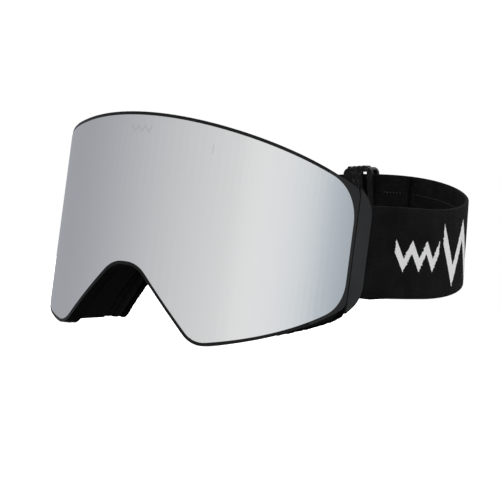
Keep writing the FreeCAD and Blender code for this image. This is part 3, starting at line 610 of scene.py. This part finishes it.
def new_material(name, shader):
    """Material whose Principled shader has its plain values set; gives its tree and shader."""
    material = bpy.data.materials.new(name)
    material.use_nodes = True
    surface = material.node_tree.nodes["Principled BSDF"]
    for key, value in shader.items():
        surface.inputs[key].default_value = value
    MATERIALS[name] = material
    return material.node_tree, surface


def mixed(tree, factor, a, b):
    """Colour between a and b."""
    ends = [value if isinstance(value, bpy.types.NodeSocket) else (*value, 1) for value in (a, b)]
    node = put(tree, "ShaderNodeMix", {0: factor, 6: ends[0], 7: ends[1]}, data_type="RGBA")
    return node.outputs[2]


def bumped(tree, surface, height, strength, distance):
    bump = put(tree, "ShaderNodeBump", {
        "Height": height, "Strength": strength, "Distance": distance})
    tree.links.new(bump.outputs["Normal"], surface.inputs["Normal"])


def scaled(value, factor):
    return tuple(min(1.0, part * factor) for part in value)


def plastic_material(name, value, rough, grain=900.0, bump=0.12, spread=0.12, lighter=1.5,
                     metallic=0.0, transmission=0.0):
    """Moulded plastic: fine spark grain, cloudy handling marks and a varying gloss."""
    tree, surface = new_material(name, {
        "Roughness": rough, "Specular IOR Level": 0.2, "Metallic": metallic,
        "Transmission Weight": transmission})
    place = put(tree, "ShaderNodeTexCoord")
    marks = group_node(tree, "moulded grain", {
        "Vector": place.outputs["Object"], "Fine": grain * 4, "Slow": 60.0})
    tree.links.new(mixed(tree, marks.outputs["Mask"], value, scaled(value, lighter)),
                   surface.inputs["Base Color"])
    spots = put(tree, "ShaderNodeMapRange", {
        "Value": marks.outputs["Mask"], "To Min": rough - spread / 2,
        "To Max": rough + spread / 2})
    tree.links.new(spots.outputs["Result"], surface.inputs["Roughness"])
    bumped(tree, surface, marks.outputs["Height"], bump, 0.05 * MM)
    return tree, surface


def foam_material(name, value, cells, depth):
    """Foam or fleece: pores painted darker than the walls between them as painted shade in the
    hollows, and a dull skin.
    """
    tree, surface = new_material(name, {
        "Roughness": 0.95, "Specular IOR Level": 0.02, "Sheen Weight": 0.01,
        "Sheen Roughness": 0.6})
    place = put(tree, "ShaderNodeTexCoord")
    foam = group_node(tree, "foam cells", {"Vector": place.outputs["Object"], "Cells": cells})
    # painted shade: the pores' hollows are coloured darker than the cell walls
    tree.links.new(mixed(tree, foam.outputs["Painted pore shade"], scaled(value, 0.55), scaled(value, 1.35)),
                   surface.inputs["Base Color"])
    bumped(tree, surface, foam.outputs["Height"], 0.7, depth)


def zigzag(tree, along, up, pitch, rise, stroke, start, end):
    """Mask of one zigzag."""
    stroke_node = group_node(tree, "zigzag stroke", {
        "Along": along, "Up": up, "Pitch": pitch, "Rise": rise, "Stroke": stroke,
        "From": start, "To": end})
    return stroke_node.outputs["Mask"]


def webbing_material(name, colours, pattern=None):
    """Black knitted elastic, with white zigzags knitted in where a pattern is given."""
    tree, surface = new_material(name, {
        "Roughness": 0.85, "Specular IOR Level": 0.04, "Sheen Weight": 0.012,
        "Sheen Roughness": 0.4})
    cloth = put(tree, "ShaderNodeUVMap", uv_map="cloth")
    weave = group_node(tree, "knitted elastic", {
        "Vector": cloth.outputs["UV"], "Rib": 0.85 * MM, "Yarn": 1.1 * MM})
    # the Shade mask is partly random tone and partly painted shade between the knit's ribs
    base = mixed(tree, weave.outputs["Shade"], scaled(colours.webbing, 0.6),
                 scaled(colours.webbing, 1.7))
    base = mixed(tree, weave.outputs["Lint"], base, scaled(colours.webbing, 5.0))
    height = weave.outputs["Height"]
    if pattern:
        frayed = put(tree, "ShaderNodeTexNoise", {
            "Vector": cloth.outputs["UV"], "Scale": 900.0, "Detail": 1.0})
        split = put(tree, "ShaderNodeSeparateXYZ", {0: cloth.outputs["UV"]})
        uneven = maths(tree, "SUBTRACT", frayed.outputs["Fac"], 0.5)
        stray = maths(tree, "MULTIPLY", uneven, pattern.fray)
        along = maths(tree, "ADD", maths(tree, "ABSOLUTE", split.outputs["X"]), stray)
        up = maths(tree, "ADD", maths(tree, "ADD", split.outputs["Y"], stray), pattern.drop)
        small = zigzag(tree, along, up, pattern.small_pitch, pattern.small_rise,
                       pattern.small_stroke, pattern.small_from, pattern.small_to)
        large = zigzag(tree, along, up, pattern.large_pitch, pattern.large_rise,
                       pattern.large_stroke, pattern.large_from, pattern.large_to)
        mask = maths(tree, "MAXIMUM", small, large)
        # the white yarn gets the same random tone and painted rib shade
        yarn = mixed(tree, weave.outputs["Shade"], scaled(colours.yarn, 0.88), colours.yarn)
        base = mixed(tree, mask, base, yarn)
        height = maths(tree, "ADD", height, maths(tree, "MULTIPLY", mask, 2.5))
    tree.links.new(base, surface.inputs["Base Color"])
    bumped(tree, surface, height, 0.5, 0.12 * MM)


def lens_material(colours, pattern):
    """Silver mirror coating with a faint etched mark at the brow and a pale polished edge."""
    tree, surface = new_material("mirror lens", {
        "Metallic": 1.0, "Roughness": 0.04, "Coat Weight": 0.25, "Coat Roughness": 0.02})
    place = put(tree, "ShaderNodeTexCoord")
    split = put(tree, "ShaderNodeSeparateXYZ", {0: place.outputs["Object"]})
    up = maths(tree, "SUBTRACT", split.outputs["Z"], pattern.mark_height)
    mark = zigzag(tree, split.outputs["X"], up, pattern.mark_pitch, pattern.mark_rise,
                  pattern.mark_stroke, -pattern.mark_half, pattern.mark_half)
    front = maths(tree, "LESS_THAN", split.outputs["Y"], CAD_BOX[0][1] + 1.0 * MM)
    etched = maths(tree, "MULTIPLY", maths(tree, "MULTIPLY", mark, front), 0.32)
    handled = group_node(tree, "moulded grain", {
        "Vector": place.outputs["Object"], "Fine": 40.0, "Slow": 14.0})
    clean = mixed(tree, handled.outputs["Mask"], colours.mirror, scaled(colours.mirror, 0.985))
    tree.links.new(mixed(tree, etched, clean, (0.45, 0.45, 0.46)), surface.inputs["Base Color"])
    gloss = put(tree, "ShaderNodeMapRange", {
        "Value": handled.outputs["Mask"], "To Min": 0.035, "To Max": 0.055})
    rough = maths(tree, "MAXIMUM", gloss.outputs["Result"], etched)
    tree.links.new(rough, surface.inputs["Roughness"])


def rim_material(colours, pattern):
    """Gloss black rim that turns satin grey beyond a notch near each temple."""
    tree, surface = plastic_material("lens carrier", colours.rim, 0.32, bump=0.05)
    place = put(tree, "ShaderNodeTexCoord")
    split = put(tree, "ShaderNodeSeparateXYZ", {0: place.outputs["Object"]})
    out = maths(tree, "ABSOLUTE", split.outputs["X"])
    temple = maths(tree, "GREATER_THAN", out, pattern.temple)
    past = maths(tree, "ABSOLUTE", maths(tree, "SUBTRACT", out, pattern.temple))
    notch = maths(tree, "LESS_THAN", past, pattern.notch)
    dark = surface.inputs["Base Color"].links[0].from_socket
    base = mixed(tree, temple, dark, colours.satin)
    base = mixed(tree, notch, base, (0.002, 0.002, 0.002))
    tree.links.new(base, surface.inputs["Base Color"])


def make_materials(colours, pattern):
    lens_material(colours, pattern)
    rim_material(colours, pattern)
    plastic_material("satin plastic", colours.satin, 0.42, bump=0.1)
    plastic_material("soft frame", colours.frame, 0.55, bump=0.2, lighter=1.8)
    plastic_material("slider plastic", colours.slider, 0.36, bump=0.15)
    plastic_material("gasket", (0.02, 0.02, 0.02), 0.7, bump=0.3)
    plastic_material("grip silicone", (0.03, 0.03, 0.031), 0.3, bump=0.05)
    plastic_material("sewing thread", (0.010, 0.010, 0.0105), 0.7, grain=2500.0, bump=0.4)
    foam_material("face foam", colours.foam, 900.0, 0.35 * MM)
    foam_material("firm foam", scaled(colours.foam, 0.7), 1300.0, 0.25 * MM)
    foam_material("fleece", colours.fleece, 1800.0, 0.5 * MM)
    foam_material("vent foam", scaled(colours.foam, 0.8), 420.0, 0.7 * MM)
    webbing_material("webbing", colours)
    webbing_material("patterned webbing", colours, pattern)
    plastic_material("steel", colours.steel, 0.3, bump=0.08, lighter=1.1, metallic=1.0)
    plastic_material("inner lens", (0.93, 0.95, 0.97), 0.04, bump=0.0, spread=0.02, lighter=1.0,
                     transmission=1.0)


# ---- operators --------------------------------------------------------------------------------

CAMERA_LENS = 124.2
CAMERA_PLACE = (0.55461, -0.62023, -0.01354)
CAMERA_RIGHT = Vector((0.74633, 0.65286, 0.12949))
CAMERA_BACK = Vector((0.65938, -0.75174, -0.01028))
WHITE = (1.0, 1.0, 1.0)
UNDERSIDE = (0.03, 0.03, 0.03)
BANDS = (  # bearing in degrees, 0 in front and 90 at the goggles' left, and what the lens mirrors
    (-180, (0.36, 0.37, 0.40)), (-120, (0.36, 0.37, 0.40)), (-85, (0.355, 0.365, 0.395)),
    (-62, (0.41, 0.42, 0.45)), (-42, (0.50, 0.51, 0.53)), (-21, (0.61, 0.615, 0.62)),
    (0, (0.70, 0.705, 0.705)), (18, (0.79, 0.79, 0.79)), (34, (0.80, 0.80, 0.80)),
    (54, (0.76, 0.775, 0.785)), (74, (0.68, 0.71, 0.735)), (94, (0.50, 0.545, 0.585)),
    (120, (0.38, 0.42, 0.46)), (180, (0.36, 0.38, 0.41)),
)


class GOGGLES_OT_stage(bpy.types.Operator):
    """Adds the pale floor, the soft studio light and the camera"""

    bl_idname = "goggles.stage"
    bl_label = "Stage"

    def execute(self, context):
        self.camera(context)
        self.floor()
        self.world(context)
        self.lamp()
        context.scene.view_settings.view_transform = "Standard"
        return {"FINISHED"}

    def camera(self, context):
        data = bpy.data.cameras.new("camera")
        data.lens = CAMERA_LENS
        data.sensor_width = 36.0
        data.clip_start = 0.01
        camera = bpy.data.objects.new("camera", data)
        up = CAMERA_BACK.cross(CAMERA_RIGHT).normalized()
        right = up.cross(CAMERA_BACK).normalized()
        turn = Matrix((right, up, CAMERA_BACK)).transposed().to_4x4()
        camera.matrix_world = Matrix.Translation(CAMERA_PLACE) @ turn
        context.scene.collection.objects.link(camera)
        context.scene.camera = camera

    def floor(self):
        clear_selection()
        lowest = CAD_BOX[0][2] - 0.2 * MM
        bpy.ops.mesh.primitive_plane_add(size=6.0, location=(0, 0, lowest))
        floor = bpy.context.object
        floor.name = "stage_floor"
        floor.visible_glossy = False
        floor.visible_diffuse = False
        floor.visible_shadow = False
        new_material("pale floor", {
            "Base Color": (0.9, 0.9, 0.9, 1), "Roughness": 0.8, "Emission Strength": 1.0,
            "Emission Color": (1, 1, 1, 1), "Specular IOR Level": 0.0})
        dress(floor, MATERIALS["pale floor"])

    def world(self, context):
        """White studio that the lens mirrors as a row of upright soft bands."""
        world = bpy.data.worlds.new("studio")
        context.scene.world = world
        world.use_nodes = True
        tree = world.node_tree
        tree.nodes.clear()
        place = put(tree, "ShaderNodeTexCoord")
        split = put(tree, "ShaderNodeSeparateXYZ", {0: place.outputs["Generated"]})
        bearing = maths(tree, "ARCTAN2", split.outputs["X"],
                        maths(tree, "MULTIPLY", split.outputs["Y"], -1.0))
        share = put(tree, "ShaderNodeMapRange", {
            "Value": bearing, "From Min": -math.pi, "From Max": math.pi})
        bands = put(tree, "ShaderNodeValToRGB", {0: share.outputs["Result"]})
        ramp = bands.color_ramp
        ramp.interpolation = "B_SPLINE"
        while len(ramp.elements) < len(BANDS):
            ramp.elements.new(0.5)
        for element, (degrees, value) in zip(ramp.elements, BANDS):
            element.position = degrees / 360 + 0.5
            element.color = (*value, 1)
        top = put(tree, "ShaderNodeMapRange", {
            "Value": split.outputs["Z"], "From Min": 0.25, "From Max": 0.75})
        mirrored = mixed(tree, top.outputs["Result"], bands.outputs["Color"], WHITE)
        path = put(tree, "ShaderNodeLightPath")
        cast = mixed(tree, path.outputs["Is Glossy Ray"], WHITE, mirrored)
        under = put(tree, "ShaderNodeMapRange", {
            "Value": split.outputs["Z"], "From Min": -0.12, "From Max": -0.4})
        cast = mixed(tree, under.outputs["Result"], cast, UNDERSIDE)
        seen = mixed(tree, path.outputs["Is Camera Ray"], cast, WHITE)
        light = put(tree, "ShaderNodeBackground", {"Color": seen, "Strength": 1.0})
        result = tree.nodes.new("ShaderNodeOutputWorld")
        tree.links.new(light.outputs[0], result.inputs[0])

    def lamp(self):
        data = bpy.data.lights.new("soft top light", "AREA")
        data.shape = "RECTANGLE"
        data.size = 0.7
        data.size_y = 0.5
        data.energy = 1.0
        lamp = bpy.data.objects.new("soft_top_light", data)
        lamp.location = (0.15, 0.1, 0.75)
        bpy.context.scene.collection.objects.link(lamp)
        lamp.visible_glossy = False


class GOGGLES_OT_lens(bpy.types.Operator):
    """Finishes the mirror lens, its carrier, gasket, inner lens and magnets"""

    bl_idname = "goggles.lens"
    bl_label = "Lens"

    def execute(self, context):
        sizes = context.scene.goggle_soft
        lens = copy_of("outer_lens", "lens_mirror")
        low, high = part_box("outer_lens")
        levelled(lens, low.z + 1.5 * MM, high.z - 1.5 * MM, 4 * MM)
        bevelled(lens, sizes.lens_bevel)
        dress(lens, MATERIALS["mirror lens"])
        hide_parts("outer_lens")
        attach(lens, "lens_assembly")
        dress(NODES["lens_carrier"], MATERIALS["lens carrier"])
        dress(NODES["inner_lens"], MATERIALS["inner lens"])
        dress(NODES["lens_spacer_gasket"], MATERIALS["gasket"])
        dress(NODES["lens_magnets"], MATERIALS["steel"])
        return {"FINISHED"}


class GOGGLES_OT_hard_parts(bpy.types.Operator):
    """Finishes the frame, its magnets, the outriggers with their pins, and the slider"""

    bl_idname = "goggles.hard_parts"
    bl_label = "Hard parts"

    def execute(self, context):
        dress(NODES["face_frame"], MATERIALS["soft frame"])
        dress(NODES["frame_magnets"], MATERIALS["steel"])
        dress(NODES["strap_slider"], MATERIALS["slider plastic"])
        for side in ("left", "right"):
            dress(NODES["outrigger_" + side], MATERIALS["satin plastic"])
            dress(NODES["outrigger_pin_" + side], MATERIALS["steel"])
        return {"FINISHED"}


class GOGGLES_OT_foams(bpy.types.Operator):
    """Makes the three face foam layers and the vent foams soft"""

    bl_idname = "goggles.foams"
    bl_label = "Foams"

    def execute(self, context):
        sizes = context.scene.goggle_soft
        for node, name, rounding, bumps, grain, material in (
                ("foam_base", "firm_foam_ring", 3, 0.15, 3.0, "firm foam"),
                ("foam_mid", "soft_foam_ring", 8, 0.3, 6.0, "face foam"),
                ("foam_fleece", "fleece_ring", 12, sizes.fleece_nap / MM, 1.3, "fleece"),
                ("vent_foam_top", "brow_vent_foam", 2, 0.1, 2.0, "vent foam"),
                ("vent_foam_cheeks", "cheek_vent_foam", 2, 0.1, 2.0, "vent foam")):
            voxel = sizes.fleece_voxel if material == "fleece" else sizes.foam_voxel
            self.soft(node, name, voxel, rounding, bumps * MM, grain * MM, material)
        return {"FINISHED"}

    def soft(self, node, name, voxel, rounding, bumps, grain, material):
        """Foam body from its CAD solid: evenly meshed, its edges rounded, its skin uneven."""
        foam = copy_of(node, name)
        even = foam.modifiers.new("even", "REMESH")
        even.mode = "VOXEL"
        even.voxel_size = voxel
        rounder = foam.modifiers.new("round", "SMOOTH")
        rounder.factor = 0.5
        rounder.iterations = rounding
        clouds = bpy.data.textures.new(name + " bumps", "CLOUDS")
        clouds.noise_scale = grain
        clouds.noise_depth = 2
        uneven = foam.modifiers.new("uneven", "DISPLACE")
        uneven.texture = clouds
        uneven.texture_coords = "LOCAL"
        uneven.strength = bumps
        uneven.mid_level = 0.5
        finish_modifiers(foam)
        smooth(foam, 60)
        dress(foam, MATERIALS[material])
        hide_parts(node)
        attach(foam, "goggle_frame")


class GOGGLES_OT_strap(bpy.types.Operator):
    """Weaves the strap: two bands looped on the outriggers' bars and the doubled tail"""

    bl_idname = "goggles.strap"
    bl_label = "Strap"

    def execute(self, context):
        sizes = context.scene.goggle_strap
        line = StrapLine(sizes)
        split = line.run_at(sizes.split)
        for side, start, end in (("left", split + sizes.split_gap, line.end),
                                 ("right", -line.end, split)):
            band = flat_band("webbing_" + side, start, end, sizes.width, sizes.thickness,
                             sizes.selvedge)
            dress_webbing(band, "patterned webbing", "webbing")
            lay_on_strap(band, line)
            smooth(band, 50)
            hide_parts("strap_" + side, "strap_end_" + side)
            follow_outrigger(band)
        inner = -sizes.thickness - sizes.tail_gap
        tail = flat_band("webbing_tail", split, line.run_at(sizes.tail), sizes.width,
                         sizes.thickness, sizes.selvedge, inner)
        lay_on_strap(tail, line)
        smooth(tail, 50)
        dress(tail, MATERIALS["webbing"])
        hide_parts("strap_tail")
        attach(tail, "goggle_frame")
        return {"FINISHED"}


class GOGGLES_OT_trims(bpy.types.Operator):
    """Adds the silicone grip beads and the stitching of the strap"""

    bl_idname = "goggles.trims"
    bl_label = "Trims"

    def execute(self, context):
        strap = context.scene.goggle_strap
        soft = context.scene.goggle_soft
        line = StrapLine(strap)
        self.beads(strap, soft, line)
        self.stitches(strap, soft, line)
        return {"FINISHED"}

    def beads(self, strap, soft, line):
        """Two rows of beads inside each band and inside the tail."""
        inside = -strap.thickness / 2
        doubled = inside - strap.thickness - strap.tail_gap
        end = line.run_at(strap.tail)
        height = strap.width / 2 - soft.bead_inset
        for side, low, high, face in (
                ("left", end + 2.5 * MM, soft.bead_reach, inside),
                ("right", -soft.bead_reach, -soft.bead_slider, inside),
                ("tail", -6 * MM, end - 1.5 * MM, doubled)):
            clear_selection()
            bpy.ops.mesh.primitive_uv_sphere_add(
                segments=8, ring_count=4, radius=soft.bead_radius, location=(low, face, height))
            bead = bpy.context.object
            bead.name = "grip_beads_" + side
            bead.scale = (1.0, 0.45, 0.8)
            settle(bead)
            in_a_row(bead, int((high - low) / soft.bead_pitch), (soft.bead_pitch, 0, 0))
            in_a_row(bead, 2, (0, 0, -2 * height))
            lay_on_strap(bead, line)
            smooth(bead, 80)
            dress(bead, MATERIALS["grip silicone"])
            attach(bead, "goggle_frame")

    def stitches(self, strap, soft, line):
        """A row of stitches where each band is folded back, and one across the tail's end."""
        face = strap.thickness / 2
        under = -strap.thickness * 1.5 - strap.tail_gap
        made = self.row("tail_stitches", line.run_at(strap.tail) - 3 * MM, under, strap, soft)
        lay_on_strap(made, line)
        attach(made, "goggle_frame")
        self.finish(made)
        for side, sign in (("left", 1), ("right", -1)):
            run = sign * (line.end - 4 * MM)
            made = self.row("fold_stitches_" + side, run, face, strap, soft)
            lay_on_strap(made, line)
            self.finish(made)
            follow_outrigger(made)

    def row(self, name, run, off, strap, soft):
        """Row of stitches across the flat webbing."""
        pitch = soft.stitch * 1.25
        count = int((strap.width - 2 * soft.stitch_inset) / pitch)
        clear_selection()
        bpy.ops.mesh.primitive_cylinder_add(
            vertices=6, radius=soft.thread, depth=soft.stitch,
            location=(run, off, -pitch * (count - 1) / 2))
        stitch = bpy.context.object
        stitch.name = name
        alone(stitch)
        bpy.ops.object.mode_set(mode="EDIT")
        bpy.ops.mesh.select_all(action="SELECT")
        bpy.ops.mesh.bevel(offset=soft.thread * 0.6, segments=1, affect="EDGES")
        bpy.ops.object.mode_set(mode="OBJECT")
        settle(stitch)
        in_a_row(stitch, count, (0, 0, pitch))
        return stitch

    def finish(self, obj):
        smooth(obj, 60)
        dress(obj, MATERIALS["sewing thread"])


class GOGGLES_PT_panel(bpy.types.Panel):
    """Lists the goggles' settings and pieces"""

    bl_label = "Ski Goggles"
    bl_idname = "GOGGLES_PT_panel"
    bl_space_type = "VIEW_3D"
    bl_region_type = "UI"
    bl_category = "Goggles"

    def draw(self, context):
        layout = self.layout
        for operator in OPERATORS:
            layout.operator(operator.bl_idname)
        scene = context.scene
        for settings in [getattr(scene, name) for name in SETTINGS]:
            box = layout.box()
            for key in settings.bl_rna.properties.keys():
                if key not in ("rna_type", "name"):
                    box.prop(settings, key)


OPERATORS = (
    GOGGLES_OT_stage, GOGGLES_OT_lens, GOGGLES_OT_hard_parts, GOGGLES_OT_foams,
    GOGGLES_OT_strap, GOGGLES_OT_trims,
)
SETTINGS = {
    "goggle_strap": GoggleStrapSizes, "goggle_soft": GoggleSoftSizes,
    "goggle_pattern": GogglePatternSizes, "goggle_colours": GoggleColours,
}
CLASSES = (*SETTINGS.values(), *OPERATORS, GOGGLES_PT_panel)


def register():
    for item in CLASSES:
        bpy.utils.register_class(item)
    for name, settings in SETTINGS.items():
        setattr(bpy.types.Scene, name, bpy.props.PointerProperty(type=settings))


def unregister():
    for name in SETTINGS:
        delattr(bpy.types.Scene, name)
    for item in reversed(CLASSES):
        bpy.utils.unregister_class(item)


def main():
    register()
    make_materials(bpy.context.scene.goggle_colours, bpy.context.scene.goggle_pattern)
    bpy.ops.goggles.stage()
    bpy.ops.goggles.lens()
    bpy.ops.goggles.hard_parts()
    bpy.ops.goggles.foams()
    bpy.ops.goggles.strap()
    bpy.ops.goggles.trims()


if __name__ == "__main__":
    main()
